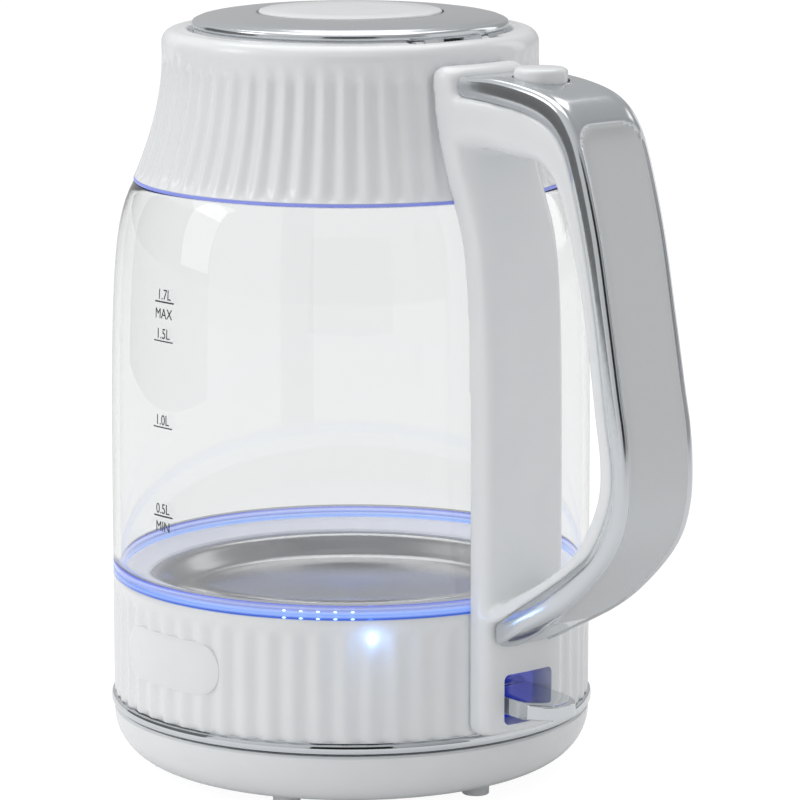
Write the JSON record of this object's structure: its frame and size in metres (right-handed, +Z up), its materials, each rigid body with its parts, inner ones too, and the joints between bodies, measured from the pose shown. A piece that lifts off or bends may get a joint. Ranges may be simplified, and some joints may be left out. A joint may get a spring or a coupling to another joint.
{
  "type": "electric kettle",
  "caption": "Glass electric kettle on a round power base, with a fluted collar and housing, a hinged lid and a loop handle.",
  "frame": {"origin": "on the kettle's axis, in the plane of the feet", "axes": "+Z up along the axis, +X towards the handle, spout at -X, volume marks at -Y"},
  "size_m": [0.2226, 0.1568, 0.246],
  "materials": {
    "white_abs": "polished moulded ABS",
    "bright_chrome": "bright plated",
    "satin_chrome": "satin plated",
    "stainless_steel": "brushed",
    "rubber_feet": "matt",
    "black_nylon": "moulded",
    "grey_pom": "moulded",
    "blue_light": "lit light guide",
    "blue_edge": "lit silicone edge",
    "blue_well": "lit tub",
    "copper_alloy": "rolled",
    "dark_steel": "heat darkened",
    "cast_aluminium": "cast",
    "clear_silicone": "translucent",
    "green_board": "solder mask",
    "led_dome": "clear dome",
    "red_wire": "silicone sleeve",
    "clear_glass": "polished",
    "grey_ink": "printed"
  },
  "bodies": {
    "base": {"base_shell": "white_abs", "base_bottom_plate": "white_abs", "base_feet": "rubber_feet", "base_connector": "black_nylon", "base_screws": "stainless_steel", "cord_grommet": "black_nylon"},
    "ring": {"turn_ring": "grey_pom"},
    "lid": {"lid_pan": "white_abs", "lid_trim_ring": "satin_chrome", "lid_disc": "white_abs", "lid_seal": "clear_silicone"},
    "button": {"lid_button": "white_abs", "latch_arm": "grey_pom"},
    "switch": {"switch_paddle": "bright_chrome"},
    "filter": {"filter_frame": "white_abs", "filter_mesh": "stainless_steel"},
    "kettle": {"trim_ring": "bright_chrome", "bottom_cover": "white_abs", "bottom_screws": "stainless_steel", "lower_housing": "white_abs", "badge": "white_abs", "indicator_lens": "blue_light", "kettle_connector": "black_nylon", "control_unit": "grey_pom", "bimetal_discs": "copper_alloy", "heating_element": "dark_steel", "heat_spreader": "cast_aluminium", "heating_plate": "stainless_steel", "plate_gasket": "clear_silicone", "light_band": "blue_light", "led_board": "green_board", "leds": "led_dome", "wires": "red_wire", "glass_jug": "clear_glass", "volume_scale": "grey_ink", "collar_gasket": "blue_edge", "upper_collar": "white_abs", "handle_grip": "white_abs", "handle_cover": "satin_chrome", "handle_screws": "stainless_steel", "steam_duct": "grey_pom", "switch_well": "blue_well", "switch_pin": "stainless_steel", "button_spring": "stainless_steel", "lid_hinge_pin": "stainless_steel", "lid_spring": "stainless_steel"}
  },
  "joints": [
    {"name": "kettle_swivel", "type": "hinge", "parent": "base", "child": "ring", "pos_m": [0, 0, 0.02], "axis": [0, 0, 1], "continuous": true},
    {"name": "kettle_lift", "type": "slide", "parent": "ring", "child": "kettle", "axis": [0, 0, 1], "range_m": [0, 0.06]},
    {"name": "lid_hinge", "type": "hinge", "parent": "kettle", "child": "lid", "pos_m": [0.0482, 0, 0.238], "axis": [0, 1, 0], "range_deg": [0, 62]},
    {"name": "button_press", "type": "slide", "parent": "kettle", "child": "button", "axis": [0, 0, -1], "range_m": [0, 0.003], "stiffness_N_per_m": 500, "springref_m": -0.002, "deforming": ["button_spring"]},
    {"name": "switch_rock", "type": "hinge", "parent": "kettle", "child": "switch", "pos_m": [0.072, 0, 0.036], "axis": [0, -1, 0], "range_deg": [0, 12]},
    {"name": "filter_release", "type": "slide", "parent": "kettle", "child": "filter", "axis": [1, 0, 0], "range_m": [0, 0.012]}
  ]
}
